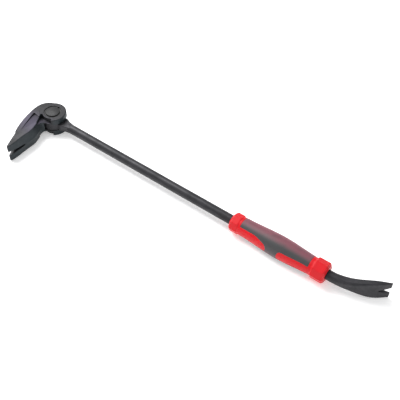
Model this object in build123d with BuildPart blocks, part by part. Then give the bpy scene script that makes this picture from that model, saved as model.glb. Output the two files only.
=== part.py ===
from build123d import *
from math import asin, degrees
import os

# Indexing pry bar. The head turns about +Z at the origin; +X runs along the shaft to the straight
# claw. The release button faces +Z. All sizes are in millimetres.

# ---- reach of cutting shapes: right through a piece, and a little past its end ----
through = 60.0
beyond = 4.0

# ---- hub: half heights above the shaft's axis, then radii ----
ear_half = 18.0
claw_half = 17.2
slot_half = 7.0
boss_half = 6.5
boss_radius = 21.5
ear_radius = 23.6
lower_ear_radius = 22.5
slot_radius = 24.2
slot_floor_y = -12.3

# ---- lock spline ----
tooth_count = 24
spline_root_radius = 10.4
spline_tip_radius = 12.0
tooth_root_half = 0.95
tooth_tip_half = 0.45
spline_clearance = 0.08
ear_spline_top = 10.5
button_travel = 3.8

# ---- bores, bush, rings and washers ----
bush_radius = 15.0
running_gap = 0.05
face_gap = 0.1
bush_pilot = 2.0
bush_bottom = -13.4
cap_thickness = 2.1
button_flange_thickness = 1.2
ring_thickness = 1.1
ring_inner_radius = 12.6
ring_groove_depth = 0.9
ring_gap = 4.0
cap_chamfer = 0.3
gear_tail = 4.5
washer_thickness = 0.4
washer_inner_radius = 15.4
washer_outer_radius = 21.0

# ---- button ----
button_radius = 12.2
button_post_radius = 9.5
button_crown = 1.2
button_edge = 0.6
button_top = 20.0

# ---- return spring ----
spring_wire_radius = 0.75
spring_coil_radius = 6.2
spring_turns = 7
spring_pocket_radius = 7.9
spring_pocket_top = 5.0
seat_radius = 7.4
seat_thickness = 1.2
seat_nose_radius = 5.0
seat_nose_height = 2.0
seat_nose_chamfer = 0.6

# ---- shaft, tongue and straight claw ----
shaft_radius = 8.0
shaft_start = 34.0
shaft_taper = 9.0
shaft_end = 560.0
tongue_half_width = 10.6
tongue_shoulder = 24.5
tongue_neck = 32.0
tongue_neck_half_width = 7.6
tongue_end = 54.0
tongue_end_half_width = 3.6
tongue_chamfer = 0.8
straight_claw_tip = (642.0, 30.5)
straight_notch_depth = 12.0
straight_notch_half_width = 7.6
straight_root_radius = 1.6

# ---- claw head ----
head_tip_y = -108.5
flange_end = (-17.0, -74.5)
inner_crown = 3.5
back_fillet = 2.0
inner_fillet = 1.2
ear_chamfer = 0.8
head_notch_depth = 32.0
head_notch_half_width = 4.4
notch_root_radius = 1.3
prong_corner_width = 2.5
prong_corner_length = 4.0
disc_radius = 18.3
recess_floor = 9.8
recess_rise = 0.15
recess_start = 232
recess_end = 305

# ---- grip ----
grip_start = 386.0
grip_end = 555.0
panel_start = 406.0
panel_end = 527.0
panel_depth = 2.6
grip_front_radius = 15.0
grip_rear_radius = 16.0
panel_end_radius = 15.0
# (place along the shaft, radius) of the grip's waist and swell
grip_radii = [(412.0, 14.9), (440.0, 16.4), (474.0, 17.9), (505.0, 16.2), (521.0, 15.0)]
front_collar_radius = 16.2
rear_collar_radius = 17.4
collar_length = 18.0
rear_collar_length = 24.0
collar_chamfer = 3.0
end_inset = 2.0

# ---- worked-out levels in the hub ----
gear_top = ear_spline_top - face_gap
counterbore_floor = -boss_half + bush_pilot
gear_shoulder = counterbore_floor - running_gap
gear_bottom = gear_shoulder - gear_tail
flange_bottom = ear_spline_top + face_gap + button_travel
flange_top = flange_bottom + button_flange_thickness
groove_radius = bush_radius + ring_groove_depth
cap_top = bush_bottom - face_gap
cap_bottom = cap_top - cap_thickness
seat_top = cap_top + seat_thickness
spring_length = spring_pocket_top - seat_top

os.makedirs("parts", exist_ok=True)


def draw_spline(clearance=0.0):
    """Draw the lock gear's toothed outline, grown by a clearance, in the open sketch."""
    root = spline_root_radius + clearance
    tip = spline_tip_radius + clearance
    buried = root - 1.0
    Circle(root)
    with PolarLocations(0, tooth_count):
        Polygon(
            (buried, -tooth_root_half - clearance),
            (tip, -tooth_tip_half - clearance),
            (tip, tooth_tip_half + clearance),
            (buried, tooth_root_half + clearance),
            align=None,
        )


def save(part, label):
    """Label a finished piece and write its STEP file."""
    part.label = label
    export_step(part, f"parts/{label}.step")


# =============================== bar ===============================
# The straight claw follows this bent line, growing wide and thin towards its tip.
claw_path = Spline(
    (shaft_end, 0, 0),
    (590, 4.5, 0),
    (617, 15.0, 0),
    (*straight_claw_tip, 0),
    tangents=((1, 0, 0), (0.84, 0.54, 0)),
)
# position along the line, width, thickness, corner radius
claw_sections = [
    (0.0, 2 * shaft_radius, 2 * shaft_radius, 7.9),
    (0.2, 17.4, 15.2, 6.6),
    (0.38, 21.5, 13.2, 4.6),
    (0.55, 28.5, 11.0, 3.2),
    (0.72, 34.4, 8.6, 2.2),
    (0.88, 35.0, 5.2, 1.4),
    (1.0, 35.0, 1.6, 0.6),
]

with BuildPart() as bar:
    with BuildSketch(Plane.XY.offset(-boss_half)):
        Polygon(
            (0, -tongue_half_width),
            (tongue_shoulder, -tongue_half_width),
            (tongue_neck, -tongue_neck_half_width),
            (tongue_end, -tongue_end_half_width),
            (tongue_end, tongue_end_half_width),
            (tongue_neck, tongue_neck_half_width),
            (tongue_shoulder, tongue_half_width),
            (0, tongue_half_width),
            align=None,
        )
    extrude(amount=2 * boss_half)
    chamfer(bar.edges().group_by(Axis.Z)[0] + bar.edges().group_by(Axis.Z)[-1], tongue_chamfer)
    with BuildSketch(Plane.XY):
        Polygon(
            (shaft_start, 0),
            (shaft_start, boss_half),
            (shaft_start + shaft_taper, shaft_radius),
            (shaft_end, shaft_radius),
            (shaft_end, 0),
            align=None,
        )
    revolve(axis=Axis.X)
    with BuildSketch(Plane.XY.offset(-boss_half)):
        Circle(boss_radius)
    extrude(amount=2 * boss_half)
    for position, width, thickness, corner in claw_sections:
        claw_plane = Plane(
            origin=claw_path @ position, x_dir=(0, 0, 1), z_dir=claw_path % position
        )
        with BuildSketch(claw_plane):
            RectangleRounded(width, thickness, corner)
    loft()
    # nail notch in the straight claw
    with BuildSketch(Plane.XZ.offset(-through)):
        notch_root_x = straight_claw_tip[0] - straight_notch_depth
        Polygon(
            (notch_root_x, -straight_root_radius),
            (straight_claw_tip[0] + beyond, -straight_notch_half_width),
            (straight_claw_tip[0] + beyond, straight_notch_half_width),
            (notch_root_x, straight_root_radius),
            align=None,
        )
        with Locations((notch_root_x, 0)):
            Circle(straight_root_radius)
    extrude(amount=through, mode=Mode.SUBTRACT)
    # lock spline and the bush's counterbore
    with BuildSketch(Plane.XY.offset(-boss_half)):
        draw_spline(spline_clearance)
    extrude(amount=2 * boss_half, mode=Mode.SUBTRACT)
    with BuildSketch(Plane.XY.offset(-boss_half)):
        Circle(bush_radius + running_gap)
    extrude(amount=bush_pilot, mode=Mode.SUBTRACT)
save(bar.part, "bar")


# =============================== claw head ===============================
def claw_outline(level, crown):
    """The claw's side outline at one height; crown moves the inner face towards the shaft."""
    hub_back = (-8.2, 20.4)
    hub_front = (5.0, -21.9)
    step_in = (-13.4, -77.0)
    tip_back = (-1.4, head_tip_y)
    tip_inner = (0.9, head_tip_y + 0.4)
    with BuildSketch(Plane.XY.offset(level)) as outline:
        with BuildLine():
            Spline(
                hub_back,
                (-20.0, 17.3),
                (-28.5, 10.0),
                (-33.8, -5.0),
                (-33.0, -20.0),
                (-28.5, -44.0),
                (-23.3, -60.5),
                flange_end,
            )
            Line(flange_end, step_in)
            Spline(step_in, (-8.7, -90.0), (-4.0, -102.0), tip_back)
            Line(tip_back, tip_inner)
            Spline(
                tip_inner,
                (2.4 + 0.5 * crown, -95.0),
                (2.3 + crown, -75.0),
                (2.0 + crown, -50.0),
                (-1.8 + 0.8 * crown, -37.0),
                (-1.8 + 0.4 * crown, -27.5),
                hub_front,
            )
            Polyline(hub_front, (10, 0), hub_back)
        make_face()
    return outline.sketch


# Each side of the claw has a shallow web panel, sloping down to a wall along the back flange.
web_wall_start = Vector(-25.0, -22.0, 13.8)
web_edge_start = Vector(-5.0, -25.0, claw_half)
web_edge_end = Vector(-11.5, -78.0, claw_half)
with BuildPart() as web_panel:
    with BuildSketch(Plane.XY.offset(slot_half)):
        with BuildLine():
            Spline((-25.0, -20.5), (-21.4, -34.2), (-18.1, -44.6), (-13.0, -61.3), (-9.5, -77.5))
            Polyline((-9.5, -77.5), (-2.0, -77.5), (-2.0, -27.0), (-13.0, -22.6), (-25.0, -20.5))
        make_face()
    extrude(amount=ear_half - slot_half + 1)
    web_normal = (web_wall_start - web_edge_start).cross(web_edge_end - web_edge_start)
    split(bisect_by=Plane(origin=web_edge_start, z_dir=web_normal), keep=Keep.TOP)

# Between the hub's raised disc and the web lies a deep recess, open to the claw's inner face.
with BuildPart() as neck_recess:
    with BuildSketch(Plane.XY.offset(slot_half)):
        with BuildLine():
            disc_edge = CenterArc((0, 0), disc_radius, recess_end, recess_start - recess_end)
            Spline(disc_edge @ 1, (-12.2, -18.5), (-9.2, -25.5), (-6.0, -31.5), (-3.6, -36.5))
            Polyline((-3.6, -36.5), (10.0, -41.0), (20.0, -28.5), disc_edge @ 0)
        make_face()
    extrude(amount=ear_half - slot_half + 1)
    recess_plane = Plane(origin=(0, -disc_radius, recess_floor), x_dir=(1, 0, 0), z_dir=(0, recess_rise, 1))
    split(bisect_by=recess_plane, keep=Keep.TOP)

with BuildPart() as claw_head:
    crowns = ((-claw_half, 0.0), (0.0, inner_crown), (claw_half, 0.0))
    loft([claw_outline(level, crown) for level, crown in crowns], ruled=True)
    # the edges of each side face run, shortest first: tip, step, hub, hub, blade, inner face, back
    side_faces = claw_head.faces().sort_by(Axis.Z)
    back_edges = []
    for side_face in (side_faces[0], side_faces[-1]):
        tip_edge, step_edge, *other_edges, inner_edge, back_edge = side_face.edges().sort_by(SortBy.LENGTH)
        back_edges += [step_edge, back_edge]
    fillet(back_edges, back_fillet)
    side_faces = claw_head.faces().sort_by(Axis.Z)
    inner_edges = []
    for side_face in (side_faces[0], side_faces[-1]):
        inner_edges.append(side_face.edges().sort_by(SortBy.LENGTH)[-2])
    fillet(inner_edges, inner_fillet)
    with BuildSketch(Plane.XZ):
        Polygon(
            (0, -ear_half),
            (lower_ear_radius - ear_chamfer, -ear_half),
            (lower_ear_radius, -ear_half + ear_chamfer),
            (lower_ear_radius, 0),
            (ear_radius, 0),
            (ear_radius, ear_half - ear_chamfer),
            (ear_radius - ear_chamfer, ear_half),
            (0, ear_half),
            align=None,
        )
    revolve(axis=Axis.Z)
    # clevis slot, open to the back so that the tongue can swing through half a turn
    with BuildSketch(Plane.XY.offset(-slot_half)):
        Circle(slot_radius)
        with Locations((0, slot_floor_y)):
            Rectangle(2 * through, through, align=(Align.CENTER, Align.MIN))
    extrude(amount=2 * slot_half, mode=Mode.SUBTRACT)
    # upper ear: lock spline, then the button's chamber and its ring groove
    with BuildSketch(Plane.XY):
        draw_spline(spline_clearance)
    extrude(amount=ear_half, mode=Mode.SUBTRACT)
    with BuildSketch(Plane.XY.offset(ear_spline_top)):
        Circle(bush_radius)
    extrude(amount=ear_half, mode=Mode.SUBTRACT)
    with BuildSketch(Plane.XY.offset(flange_top + running_gap)):
        Circle(groove_radius)
    extrude(amount=ring_thickness + face_gap, mode=Mode.SUBTRACT)
    # lower ear: bush bore and the cap's ring groove
    with BuildSketch(Plane.XY):
        Circle(bush_radius)
    extrude(amount=-ear_half, mode=Mode.SUBTRACT)
    with BuildSketch(Plane.XY.offset(cap_bottom - running_gap)):
        Circle(groove_radius)
    extrude(amount=-(ring_thickness + face_gap), mode=Mode.SUBTRACT)
    for hollow in (web_panel.part, neck_recess.part):
        add(hollow, mode=Mode.SUBTRACT)
        add(hollow.mirror(Plane.XY), mode=Mode.SUBTRACT)
    # nail notch in the claw, with a rounded root
    notch_root_y = head_tip_y + head_notch_depth
    with BuildSketch(Plane.YZ.offset(-through)):
        Polygon(
            (notch_root_y, -notch_root_radius),
            (head_tip_y - beyond, -head_notch_half_width),
            (head_tip_y - beyond, head_notch_half_width),
            (notch_root_y, notch_root_radius),
            align=None,
        )
        with Locations((notch_root_y, 0)):
            Circle(notch_root_radius)
        # the prongs' outer corners
        for side in (-1, 1):
            Polygon(
                (head_tip_y - 1, side * (claw_half + 1)),
                (head_tip_y - 1, side * (claw_half - prong_corner_width)),
                (head_tip_y + prong_corner_length, side * (claw_half + 1)),
                align=None,
            )
    extrude(amount=2 * through, mode=Mode.SUBTRACT)
save(claw_head.part, "claw_head")


# =============================== lock ===============================
with BuildPart() as lock_gear:
    with BuildSketch(Plane.XY.offset(gear_shoulder)):
        draw_spline()
    extrude(amount=gear_top - gear_shoulder)
    with BuildSketch(Plane.XY.offset(gear_bottom)):
        Circle(spline_tip_radius)
    extrude(amount=gear_shoulder - gear_bottom)
    with BuildSketch(Plane.XY.offset(gear_bottom)):
        Circle(spring_pocket_radius)
    extrude(amount=spring_pocket_top - gear_bottom, mode=Mode.SUBTRACT)
save(lock_gear.part, "lock_gear")

with BuildPart() as release_button:
    dome_rim = button_radius - button_edge
    dome_radius = (dome_rim**2 + button_crown**2) / (2 * button_crown)
    dome_angle = degrees(asin(dome_rim / dome_radius))
    with BuildSketch(Plane.XZ):
        with BuildLine():
            dome = CenterArc((0, button_top - dome_radius), dome_radius, 90, -dome_angle)
            Polyline(
                dome @ 1,
                (button_radius, button_top - button_crown - button_edge),
                (button_radius, flange_top),
                (bush_radius - running_gap, flange_top),
                (bush_radius - running_gap, flange_bottom),
                (button_post_radius, flange_bottom),
                (button_post_radius, gear_top),
                (0, gear_top),
                dome @ 0,
            )
        make_face()
    revolve(axis=Axis.Z)
save(release_button.part, "release_button")

with BuildPart() as return_spring:
    coil_height = spring_length - 2 * spring_wire_radius - 2 * running_gap
    with BuildLine(Plane.XY.offset(seat_top + spring_wire_radius + running_gap)) as coil:
        Helix(coil_height / spring_turns, coil_height, spring_coil_radius)
    with BuildSketch(Plane(origin=coil.line @ 0, z_dir=coil.line % 0)):
        Circle(spring_wire_radius)
    sweep()
save(return_spring.part, "return_spring")

with BuildPart() as spring_seat:
    with BuildSketch(Plane.XY.offset(cap_top)):
        Circle(seat_radius)
    extrude(amount=seat_thickness)
    with BuildSketch(Plane.XY.offset(seat_top)):
        Circle(seat_nose_radius)
    extrude(amount=seat_nose_height)
    chamfer(spring_seat.edges().group_by(Axis.Z)[-1], seat_nose_chamfer)
save(spring_seat.part, "spring_seat")

with BuildPart() as pivot_bush:
    with BuildSketch(Plane.XY.offset(bush_bottom)):
        Circle(bush_radius)
        Circle(spline_tip_radius + spline_clearance, mode=Mode.SUBTRACT)
    extrude(amount=counterbore_floor - face_gap - bush_bottom)
save(pivot_bush.part, "pivot_bush")

with BuildPart() as bottom_cap:
    with BuildSketch(Plane.XY.offset(cap_bottom)):
        Circle(bush_radius - running_gap)
    extrude(amount=cap_thickness)
    chamfer(bottom_cap.edges(), cap_chamfer)
save(bottom_cap.part, "bottom_cap")

# Snap rings: one above the button's flange, one below the cap.
with BuildPart() as retaining_rings:
    for ring_bottom in (flange_top + face_gap, cap_bottom - face_gap - ring_thickness):
        with BuildSketch(Plane.XY.offset(ring_bottom)):
            Circle(groove_radius - face_gap)
            Circle(ring_inner_radius, mode=Mode.SUBTRACT)
            with Locations((0, ring_inner_radius)):
                Rectangle(ring_gap, 2 * (groove_radius - ring_inner_radius), mode=Mode.SUBTRACT)
        extrude(amount=ring_thickness)
save(retaining_rings.part, "retaining_rings")

with BuildPart() as thrust_washers:
    for washer_bottom in (boss_half + running_gap, -boss_half - running_gap - washer_thickness):
        with BuildSketch(Plane.XY.offset(washer_bottom)):
            Circle(washer_outer_radius)
            Circle(washer_inner_radius, mode=Mode.SUBTRACT)
        extrude(amount=washer_thickness)
save(thrust_washers.part, "thrust_washers")


# =============================== grip ===============================
def grip_outline(front, back, depth=0.0):
    """The grip's half outline between two (place, radius) ends, sunk below its surface by a depth."""
    sunk = [(place, radius - depth) for place, radius in (front, *grip_radii, back)]
    with BuildSketch(Plane.XY) as outline:
        with BuildLine():
            Spline(*sunk)
            Polyline(sunk[-1], (back[0], 0), (front[0], 0), sunk[0])
        make_face()
    return outline.sketch


def faceted_collar(start, length, radius):
    """An eight-sided collar around the shaft, chamfered at both ends."""
    with BuildPart() as collar:
        with BuildSketch(Plane.YZ.offset(start)):
            RegularPolygon(radius, side_count=8)
        extrude(amount=length)
        chamfer(collar.faces().sort_by(Axis.X)[0].edges(), collar_chamfer)
        chamfer(collar.faces().sort_by(Axis.X)[-1].edges(), collar_chamfer)
    return collar.part


# The whole grip's outer shape, used to cut both of its materials.
with BuildPart() as grip_shape:
    body_front = (grip_start + end_inset, grip_front_radius)
    body_back = (grip_end - end_inset, grip_rear_radius)
    revolve(grip_outline(body_front, body_back), axis=Axis.X)

with BuildPart() as overmould_zone:
    with BuildSketch(Plane.XY.offset(-through / 2)):
        with BuildLine():
            Polyline((panel_start, -10.4), (panel_start, through), (panel_end, through), (panel_end, -12.0))
            Spline(
                (panel_end, -12.0),
                (515.0, -12.3),
                (500.0, -13.6),
                (486.0, -14.6),
                (477.0, -16.4),
                (474.5, -20.0),
            )
            Line((474.5, -20.0), (459.5, -20.0))
            Spline(
                (459.5, -20.0),
                (455.0, -16.4),
                (447.0, -14.2),
                (436.0, -11.8),
                (421.0, -10.8),
                (panel_start, -10.4),
            )
        make_face()
    extrude(amount=through)

with BuildPart() as grip_overmould:
    add(grip_shape.part)
    add(overmould_zone.part, mode=Mode.INTERSECT)
    floor_front = (panel_start, panel_end_radius)
    floor_back = (panel_end, panel_end_radius)
    revolve(grip_outline(floor_front, floor_back, panel_depth), axis=Axis.X, mode=Mode.SUBTRACT)
save(grip_overmould.part, "grip_overmould")

with BuildPart() as grip_core:
    add(grip_shape.part)
    add(faceted_collar(grip_start, collar_length, front_collar_radius))
    add(faceted_collar(grip_end - rear_collar_length, rear_collar_length, rear_collar_radius))
    add(grip_overmould.part, mode=Mode.SUBTRACT)
    with BuildSketch(Plane.YZ.offset(grip_start)):
        Circle(shaft_radius)
    extrude(amount=grip_end - grip_start, mode=Mode.SUBTRACT)
save(grip_core.part, "grip_core")
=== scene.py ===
import math

import bmesh
import bpy
import numpy as np
from mathutils import Matrix, Vector


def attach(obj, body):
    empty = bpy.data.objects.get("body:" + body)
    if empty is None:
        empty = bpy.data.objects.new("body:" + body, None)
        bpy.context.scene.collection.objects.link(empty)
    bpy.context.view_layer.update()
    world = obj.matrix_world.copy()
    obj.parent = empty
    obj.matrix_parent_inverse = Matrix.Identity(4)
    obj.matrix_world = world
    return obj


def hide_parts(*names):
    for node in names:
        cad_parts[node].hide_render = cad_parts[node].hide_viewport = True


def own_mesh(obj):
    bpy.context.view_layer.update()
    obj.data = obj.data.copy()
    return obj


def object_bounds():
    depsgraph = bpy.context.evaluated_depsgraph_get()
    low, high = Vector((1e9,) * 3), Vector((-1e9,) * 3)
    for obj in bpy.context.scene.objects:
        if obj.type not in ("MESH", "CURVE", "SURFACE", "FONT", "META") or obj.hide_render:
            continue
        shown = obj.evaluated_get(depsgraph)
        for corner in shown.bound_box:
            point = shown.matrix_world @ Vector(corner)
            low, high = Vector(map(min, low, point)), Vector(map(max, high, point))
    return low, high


# Looks of the indexing pry bar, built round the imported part. Lengths are in metres.
# +X runs along the shaft, the head turns about +Z at the origin, the button faces +Z.

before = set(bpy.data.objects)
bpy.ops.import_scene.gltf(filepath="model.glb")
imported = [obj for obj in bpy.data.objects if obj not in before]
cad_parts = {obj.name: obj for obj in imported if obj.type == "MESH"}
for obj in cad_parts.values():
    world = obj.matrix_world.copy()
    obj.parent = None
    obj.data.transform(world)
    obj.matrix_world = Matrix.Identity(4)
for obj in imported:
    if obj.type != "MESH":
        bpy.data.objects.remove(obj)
cad_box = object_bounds()
scene = bpy.context.scene
scene.view_settings.view_transform = "Standard"

MM = 0.001


# =============================== node helpers ===============================
def new_material(name):
    """A fresh node material with its output and principled shader."""
    material = bpy.data.materials.new(name)
    material.use_nodes = True
    tree = material.node_tree
    tree.nodes.clear()
    output = tree.nodes.new("ShaderNodeOutputMaterial")
    shader = tree.nodes.new("ShaderNodeBsdfPrincipled")
    tree.links.new(shader.outputs["BSDF"], output.inputs["Surface"])
    return material, tree, shader


def link(tree, source, target):
    """Feed a socket from another socket, or set it to a value."""
    if isinstance(source, bpy.types.NodeSocket):
        tree.links.new(source, target)
    else:
        target.default_value = source


def object_place(tree, stretch=(1, 1, 1)):
    """Position on the object, in metres, stretched along the axes."""
    place = tree.nodes.new("ShaderNodeTexCoord")
    mapping = tree.nodes.new("ShaderNodeMapping")
    mapping.inputs["Scale"].default_value = stretch
    tree.links.new(place.outputs["Object"], mapping.inputs["Vector"])
    return mapping.outputs["Vector"]


def noise(tree, place, size, detail=4.0, rough=0.55):
    """Fractal noise whose lumps are about `size` metres across."""
    node = tree.nodes.new("ShaderNodeTexNoise")
    node.inputs["Scale"].default_value = 1.0 / size
    node.inputs["Detail"].default_value = detail
    node.inputs["Roughness"].default_value = rough
    tree.links.new(place, node.inputs["Vector"])
    return node.outputs["Fac"]


def math_node(tree, operation, first, second=0.0):
    """One arithmetic node."""
    node = tree.nodes.new("ShaderNodeMath")
    node.operation = operation
    link(tree, first, node.inputs[0])
    link(tree, second, node.inputs[1])
    return node.outputs[0]


def times(tree, first, second):
    """The product of two values."""
    return math_node(tree, "MULTIPLY", first, second)


def ramp(tree, value, low, high, out_low=0.0, out_high=1.0):
    """Map low..high to out_low..out_high, held at both ends."""
    node = tree.nodes.new("ShaderNodeMapRange")
    node.interpolation_type = "SMOOTHSTEP"
    link(tree, value, node.inputs["Value"])
    node.inputs["From Min"].default_value = low
    node.inputs["From Max"].default_value = high
    node.inputs["To Min"].default_value = out_low
    node.inputs["To Max"].default_value = out_high
    return node.outputs["Result"]


def mix_colour(tree, share, first, second):
    """Blend two colours by a share."""
    node = tree.nodes.new("ShaderNodeMix")
    node.data_type = "RGBA"
    link(tree, share, node.inputs["Factor"])
    colour_sockets = [socket for socket in node.inputs if socket.type == "RGBA"]
    for value, socket in zip((first, second), colour_sockets):
        link(tree, value if isinstance(value, bpy.types.NodeSocket) else (*value, 1), socket)
    return [socket for socket in node.outputs if socket.type == "RGBA"][0]


def edge_mask(tree, radius, start, full):
    """1 on convex and concave edges sharper than `radius`, 0 on open faces."""
    bevel = tree.nodes.new("ShaderNodeBevel")
    bevel.samples = 6
    bevel.inputs["Radius"].default_value = radius
    geometry = tree.nodes.new("ShaderNodeNewGeometry")
    dot = tree.nodes.new("ShaderNodeVectorMath")
    dot.operation = "DOT_PRODUCT"
    tree.links.new(bevel.outputs["Normal"], dot.inputs[0])
    tree.links.new(geometry.outputs["Normal"], dot.inputs[1])
    turned = math_node(tree, "SUBTRACT", 1.0, dot.outputs["Value"])
    return ramp(tree, turned, start, full)


def bump(tree, height, distance, strength=1.0, below=None):
    """A bump of `distance` metres from a 0..1 height."""
    node = tree.nodes.new("ShaderNodeBump")
    node.inputs["Strength"].default_value = strength
    node.inputs["Distance"].default_value = distance
    tree.links.new(height, node.inputs["Height"])
    if below is not None:
        tree.links.new(below, node.inputs["Normal"])
    return node.outputs["Normal"]


def hollow_mask(tree, reach, start, full):
    """1 deep in corners and pockets, 0 in the open."""
    shade = tree.nodes.new("ShaderNodeAmbientOcclusion")
    shade.samples = 6
    shade.inputs["Distance"].default_value = reach
    return ramp(tree, math_node(tree, "SUBTRACT", 1.0, shade.outputs["AO"]), start, full)


def facing(tree, direction, start, full):
    """1 where the surface faces a direction, 0 where it turns away."""
    geometry = tree.nodes.new("ShaderNodeNewGeometry")
    dot = tree.nodes.new("ShaderNodeVectorMath")
    dot.operation = "DOT_PRODUCT"
    dot.inputs[1].default_value = direction
    tree.links.new(geometry.outputs["Normal"], dot.inputs[0])
    return ramp(tree, dot.outputs["Value"], start, full)


def band_along_y(tree, place, middle, half_width):
    """1 at one place along Y, fading to 0 at half a width away."""
    split = tree.nodes.new("ShaderNodeSeparateXYZ")
    tree.links.new(place, split.inputs["Vector"])
    away = math_node(tree, "ABSOLUTE", math_node(tree, "SUBTRACT", split.outputs["Y"], middle))
    return ramp(tree, away, half_width, 0.0)


# =============================== materials ===============================
# darkest and lightest oxide of the bar, the head and the button
bar_oxide = ((0.022, 0.0225, 0.025), (0.042, 0.041, 0.046))
head_oxide = ((0.017, 0.0175, 0.019), (0.032, 0.0315, 0.035))
button_oxide = ((0.020, 0.020, 0.021), (0.036, 0.036, 0.037))
# painted light and shade over the oxide: violet for lit sides, blue-green and soot-black for shade; and
# the bare metal of worn edges
painted_light_violet = (0.064, 0.056, 0.086)
painted_shade_blue_green = (0.022, 0.033, 0.038)
painted_shade_black = (0.004, 0.004, 0.005)
bared_metal = (0.24, 0.235, 0.23)


def black_steel(name, oxide_colours, grain=(1, 1, 1), side_light_tints=False):
    """Forged steel with a satin black oxide: mottled, finely pitted, rubbed bright along its edges,
    with painted shade in its hollows and, if asked, painted light and shade on the head's sides.
    """
    material, tree, shader = new_material(name)
    place = object_place(tree)
    drawn = object_place(tree, grain)
    cloud_share = 0.6
    cloud = noise(tree, place, 22 * MM, 3)
    scale = noise(tree, drawn, 1.6 * MM, 5)
    pits = noise(tree, place, 0.7 * MM, 3, 0.6)
    tone = math_node(tree, "ADD", times(tree, cloud, cloud_share), times(tree, scale, 1 - cloud_share))
    oxide = mix_colour(tree, ramp(tree, tone, 0.32, 0.68), *oxide_colours)
    if side_light_tints:
        # painted light and shade: a lighter violet on the neck's sides that face +Z toward the light, a
        # blue-green on the inner face that turns away from it
        neck_band = band_along_y(tree, place, -42 * MM, 36 * MM)
        lit_neck_sides = times(tree, neck_band, facing(tree, (0, 0, 1), 0.6, 0.95))
        shaded_inner_face = facing(tree, (1, 0, 0), 0.4, 0.9)
        oxide = mix_colour(tree, times(tree, lit_neck_sides, 0.8), oxide, painted_light_violet)
        oxide = mix_colour(tree, times(tree, shaded_inner_face, 0.6), oxide, painted_shade_blue_green)
    # painted shade: the steel is darkened toward black deep in corners and pockets, where shade falls
    painted_shade = times(tree, hollow_mask(tree, 9 * MM, 0.34, 0.72), 0.85)
    oxide = mix_colour(tree, painted_shade, oxide, painted_shade_black)
    wear = edge_mask(tree, 0.9 * MM, 0.010, 0.10)
    worn = times(tree, wear, ramp(tree, noise(tree, place, 3.0 * MM, 5, 0.7), 0.48, 0.66))
    colour = mix_colour(tree, times(tree, worn, 0.6), oxide, bared_metal)
    tree.links.new(colour, shader.inputs["Base Color"])
    metal = ramp(tree, worn, 0.0, 1.0, 0.20, 0.9)
    shader.inputs["Specular IOR Level"].default_value = 0.20
    tree.links.new(metal, shader.inputs["Metallic"])
    even_gloss = ramp(tree, tone, 0.3, 0.7, 0.50, 0.36)
    pit_gloss = ramp(tree, pits, 0.3, 0.7, -0.04, 0.05)
    gloss = math_node(tree, "ADD", even_gloss, pit_gloss)
    tree.links.new(gloss, shader.inputs["Roughness"])
    coarse = bump(tree, cloud, 0.5 * MM, 0.25)
    fine = bump(tree, scale, 0.10 * MM, 0.5, coarse)
    tree.links.new(bump(tree, pits, 0.05 * MM, 0.35, fine), shader.inputs["Normal"])
    return material


def bright_steel(name):
    """Turned bare steel with fine tool rings and a film of oil."""
    material, tree, shader = new_material(name)
    place = object_place(tree)
    rings = tree.nodes.new("ShaderNodeTexWave")
    rings.wave_type = "RINGS"
    rings.rings_direction = "Z"
    rings.inputs["Scale"].default_value = 1 / (0.9 * MM)
    rings.inputs["Distortion"].default_value = 0.6
    tree.links.new(place, rings.inputs["Vector"])
    cloud = noise(tree, place, 5 * MM, 4)
    colour = mix_colour(tree, cloud, (0.34, 0.33, 0.32), (0.52, 0.51, 0.49))
    tree.links.new(colour, shader.inputs["Base Color"])
    shader.inputs["Metallic"].default_value = 1.0
    tree.links.new(ramp(tree, cloud, 0.3, 0.7, 0.28, 0.42), shader.inputs["Roughness"])
    tree.links.new(bump(tree, rings.outputs["Fac"], 0.03 * MM, 0.4), shader.inputs["Normal"])
    return material


def red_plastic(name):
    """Moulded red polypropylene: satin, finely spark-textured, a little scuffed, with a painted
    highlight along its edges.
    """
    material, tree, shader = new_material(name)
    place = object_place(tree)
    cloud = noise(tree, place, 14 * MM, 3)
    grain = noise(tree, place, 0.55 * MM, 3, 0.6)
    scuffs = ramp(tree, noise(tree, object_place(tree, (0.25, 1, 1)), 1.6 * MM, 6, 0.7), 0.60, 0.72)
    base = mix_colour(tree, cloud, (0.56, 0.003, 0.008), (0.68, 0.006, 0.013))
    edge = edge_mask(tree, 0.8 * MM, 0.01, 0.12)
    # painted highlight: the edges are lightened to a pale pink-red
    painted_edge_highlight = times(tree, edge, 0.35)
    colour = mix_colour(tree, painted_edge_highlight, base, (0.98, 0.09, 0.11))
    colour = mix_colour(tree, times(tree, scuffs, 0.12), colour, (0.55, 0.01, 0.02))
    tree.links.new(colour, shader.inputs["Base Color"])
    tree.links.new(ramp(tree, grain, 0.3, 0.7, 0.34, 0.46), shader.inputs["Roughness"])
    shader.inputs["Specular IOR Level"].default_value = 0.28
    shader.inputs["Subsurface Weight"].default_value = 0.05
    shader.inputs["Subsurface Radius"].default_value = (1.0 * MM, 0.3 * MM, 0.3 * MM)
    waves = bump(tree, cloud, 0.25 * MM, 0.3)
    tree.links.new(bump(tree, grain, 0.045 * MM, 0.5, waves), shader.inputs["Normal"])
    return material


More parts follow.
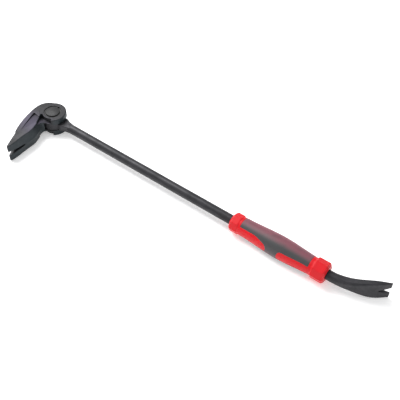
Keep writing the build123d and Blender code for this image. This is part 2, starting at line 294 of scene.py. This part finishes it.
def grey_rubber(name):
    """Soft overmould: dark grey rubber with a stippled skin, and a painted mauve sheen along its upper
    side, where the light falls.
    """
    material, tree, shader = new_material(name)
    place = object_place(tree)
    cloud = noise(tree, place, 12 * MM, 4)
    stipple = tree.nodes.new("ShaderNodeTexVoronoi")
    stipple.inputs["Scale"].default_value = 1 / (0.75 * MM)
    tree.links.new(place, stipple.inputs["Vector"])
    dust = noise(tree, place, 0.9 * MM, 4, 0.65)
    base = mix_colour(tree, cloud, (0.030, 0.034, 0.035), (0.052, 0.052, 0.055))
    colour = mix_colour(tree, ramp(tree, dust, 0.55, 0.75, 0.0, 0.25), base, (0.10, 0.088, 0.092))
    # painted sheen: the upper side, which faces the light, is tinted mauve
    lit_upper_side = facing(tree, (0, 0.30, 0.954), 0.62, 0.98)
    painted_mauve_sheen = times(tree, lit_upper_side, ramp(tree, cloud, 0.25, 0.6, 0.45, 0.75))
    colour = mix_colour(tree, painted_mauve_sheen, colour, (0.23, 0.062, 0.088))
    tree.links.new(colour, shader.inputs["Base Color"])
    tree.links.new(ramp(tree, cloud, 0.3, 0.7, 0.50, 0.62), shader.inputs["Roughness"])
    shader.inputs["Sheen Weight"].default_value = 0.40
    shader.inputs["Sheen Roughness"].default_value = 0.40
    shader.inputs["Sheen Tint"].default_value = (0.95, 0.38, 0.48, 1)
    skin = bump(tree, stipple.outputs["Distance"], 0.12 * MM, 0.45)
    tree.links.new(bump(tree, dust, 0.04 * MM, 0.4, skin), shader.inputs["Normal"])
    return material


# =============================== mesh helpers ===============================
def finish_piece(piece, body, slot, material, *nodes):
    """Give a new piece its finish, its body and the CAD nodes it stands for."""
    piece.data.materials.clear()
    piece.data.materials.append(material)
    for polygon in piece.data.polygons:
        polygon.use_smooth = True
    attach(piece, body)
    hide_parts(*nodes)
    return piece


def forged_copy(node, name, voxel, passes, swell=0.0):
    """The node's shape remade as one even skin with eased edges, and swollen a little if asked."""
    piece = bpy.data.objects.new(name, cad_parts[node].data.copy())
    scene.collection.objects.link(piece)
    weld = piece.modifiers.new("weld", "WELD")
    weld.merge_threshold = 1e-6
    skin = piece.modifiers.new("skin", "REMESH")
    skin.mode = "VOXEL"
    skin.voxel_size = voxel
    ease = piece.modifiers.new("ease", "SMOOTH")
    ease.factor = 0.5
    ease.iterations = passes
    growth = piece.modifiers.new("growth", "DISPLACE")
    growth.strength = swell
    growth.mid_level = 0.0
    bpy.context.view_layer.update()
    evaluated = piece.evaluated_get(bpy.context.evaluated_depsgraph_get())
    mesh = bpy.data.meshes.new_from_object(evaluated)
    piece.modifiers.clear()
    piece.data = mesh
    return piece


def coil_spring(name, turns, coil_radius, wire_radius, low, high):
    """A round-wire spring standing along Z, its climb gently uneven towards its ends."""
    mesh = bmesh.new()
    steps = turns * 48
    sides = 12
    unevenness = 0.03
    rings = []
    for step in range(steps + 1):
        share = step / steps
        angle = share * turns * math.tau
        climb = share - math.sin(2 * math.tau * share) * unevenness
        centre_z = low + wire_radius + (high - low - 2 * wire_radius) * climb
        outward = Vector((math.cos(angle), math.sin(angle), 0))
        ring = []
        for side in range(sides):
            turn = side / sides * math.tau
            radial = coil_radius + wire_radius * math.cos(turn)
            height = Vector((0, 0, centre_z + wire_radius * math.sin(turn)))
            ring.append(mesh.verts.new(outward * radial + height))
        rings.append(ring)
    for ring, following in zip(rings, rings[1:]):
        for side in range(sides):
            after = (side + 1) % sides
            mesh.faces.new((ring[side], ring[after], following[after], following[side]))
    mesh.faces.new(list(reversed(rings[0])))
    mesh.faces.new(rings[-1])
    bmesh.ops.recalc_face_normals(mesh, faces=mesh.faces)
    data = bpy.data.meshes.new(name)
    mesh.to_mesh(data)
    mesh.free()
    piece = bpy.data.objects.new(name, data)
    scene.collection.objects.link(piece)
    return piece


def ream(piece, radius, floor_height):
    """Clear a round chamber about Z above a floor, so the part that slides in it runs free."""
    mesh = piece.data
    flat = np.empty(len(mesh.vertices) * 3)
    mesh.vertices.foreach_get("co", flat)
    places = flat.reshape(-1, 3)
    away = np.hypot(places[:, 0], places[:, 1])
    inside = (away < radius) & (places[:, 2] > floor_height)
    near_wall = inside & (radius - away < places[:, 2] - floor_height)
    places[near_wall, :2] *= (radius / away[near_wall])[:, None]
    places[inside & ~near_wall, 2] = floor_height
    mesh.vertices.foreach_set("co", places.ravel())
    mesh.update()


# =============================== pieces ===============================
steel_shaft = black_steel("forged_steel_shaft", bar_oxide, grain=(0.12, 1, 1))
# the head also gets painted light and shade on its sides
steel_head = black_steel("forged_steel_head", head_oxide, side_light_tints=True)
steel_button = black_steel("forged_steel_button", button_oxide)
bare_steel = bright_steel("bright_steel_oiled")
red = red_plastic("grip_red_plastic")
rubber = grey_rubber("grip_grey_rubber")

# voxel sizes of the remade skins
steel_voxel = 0.5 * MM
grip_voxel = 0.36 * MM
grip_passes = 12
rubber_rise = 0.22 * MM

button_chamber_radius = 15.35 * MM
button_chamber_floor = 10.05 * MM
head_piece = forged_copy("claw_head", "claw_head_forged", steel_voxel, 3)
ream(head_piece, button_chamber_radius, button_chamber_floor)
finish_piece(head_piece, "head", "forged_steel", steel_head, "claw_head")
bar_piece = forged_copy("bar", "bar_forged", steel_voxel, 2)
finish_piece(bar_piece, "bar", "forged_steel", steel_shaft, "bar")
core_piece = forged_copy("grip_core", "grip_core_moulded", grip_voxel, grip_passes)
finish_piece(core_piece, "bar", "grip_red", red, "grip_core")
overmould_piece = forged_copy(
    "grip_overmould", "grip_overmould_moulded", grip_voxel, grip_passes, swell=rubber_rise
)
finish_piece(overmould_piece, "bar", "grip_grey", rubber, "grip_overmould")

seat_height = -12.3 * MM
spring_room = 17.3 * MM
spring_turns = 7
coil_radius = 6.2 * MM
wire_radius = 0.75 * MM
spring_piece = coil_spring(
    "return_spring_coil", spring_turns, coil_radius, wire_radius, seat_height, seat_height + spring_room
)
finish_piece(spring_piece, "head", "bright_steel", bare_steel, "return_spring")
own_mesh(spring_piece)


def repaint(node, material):
    """Give a CAD node a better material."""
    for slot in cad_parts[node].material_slots:
        slot.material = material


repaint("release_button", steel_button)
repaint("bottom_cap", steel_button)
repaint("retaining_rings", steel_button)
for inner_node in ("lock_gear", "spring_seat", "pivot_bush", "thrust_washers"):
    repaint(inner_node, bare_steel)

# =============================== floor, light, camera ===============================
rest_height = cad_box[0][2]
floor_mesh = bpy.data.meshes.new("floor")
floor_half = 6.0
floor_gap = 0.2 * MM
floor_mesh.from_pydata(
    [(x * floor_half, y * floor_half, 0) for x, y in ((-1, -1), (1, -1), (1, 1), (-1, 1))],
    [],
    [(0, 1, 2, 3)],
)
floor = bpy.data.objects.new("floor", floor_mesh)
floor.location.z = rest_height - floor_gap
scene.collection.objects.link(floor)
floor_paint, floor_tree, floor_shader = new_material("pale_floor")
floor_shader.inputs["Base Color"].default_value = (0.95, 0.95, 0.955, 1)
floor_shader.inputs["Roughness"].default_value = 0.9
floor_shader.inputs["Emission Color"].default_value = (1, 1, 1, 1)
floor_shader.inputs["Emission Strength"].default_value = 0.32
floor_mesh.materials.append(floor_paint)

world = bpy.data.worlds.new("studio")
scene.world = world
world.use_nodes = True
world.node_tree.nodes["Background"].inputs["Color"].default_value = (1.0, 1.0, 1.0, 1)
# the studio lights the bar softly, and looks white behind it
seen = world.node_tree.nodes.new("ShaderNodeLightPath")
backdrop = ramp(world.node_tree, seen.outputs["Is Camera Ray"], 0.0, 1.0, 0.60, 1.0)
world.node_tree.links.new(backdrop, world.node_tree.nodes["Background"].inputs["Strength"])

azimuth = math.radians(35.9)
elevation = math.radians(48.9)
roll = math.radians(0.9)
look_at = Vector((0.3195, 0.0034, 0))
distance = 1.120
right = Vector((math.cos(azimuth), math.sin(azimuth), 0))
forward = Vector((-math.sin(azimuth), math.cos(azimuth), 0))
back = -forward * math.cos(elevation) + Vector((0, 0, math.sin(elevation)))
up = forward * math.sin(elevation) + Vector((0, 0, math.cos(elevation)))
turned_right = math.cos(roll) * right + math.sin(roll) * up
turned_up = -math.sin(roll) * right + math.cos(roll) * up

camera_data = bpy.data.cameras.new("camera")
camera_data.sensor_width = 36
camera_data.lens = 63
camera_data.clip_start = 0.01
camera = bpy.data.objects.new("camera", camera_data)
camera.matrix_world = Matrix.Translation(look_at + back * distance) @ Matrix(
    (turned_right, turned_up, back)
).transposed().to_4x4()
scene.collection.objects.link(camera)
scene.camera = camera

light_distance = 1.6


def soft_light(name, direction, size, power):
    """A square area light facing the object's middle."""
    data = bpy.data.lights.new(name, "AREA")
    data.size = size
    data.energy = power
    lamp = bpy.data.objects.new(name, data)
    aim = direction.normalized()
    lamp.location = look_at + aim * light_distance
    lamp.rotation_euler = aim.to_track_quat("Z", "Y").to_euler()
    scene.collection.objects.link(lamp)


soft_light("key", turned_up * 1.0 - turned_right * 0.55 + back * 0.35, 0.9, 30)
soft_light("fill", back * 1.0 + turned_right * 0.5 - turned_up * 0.1, 1.6, 4)
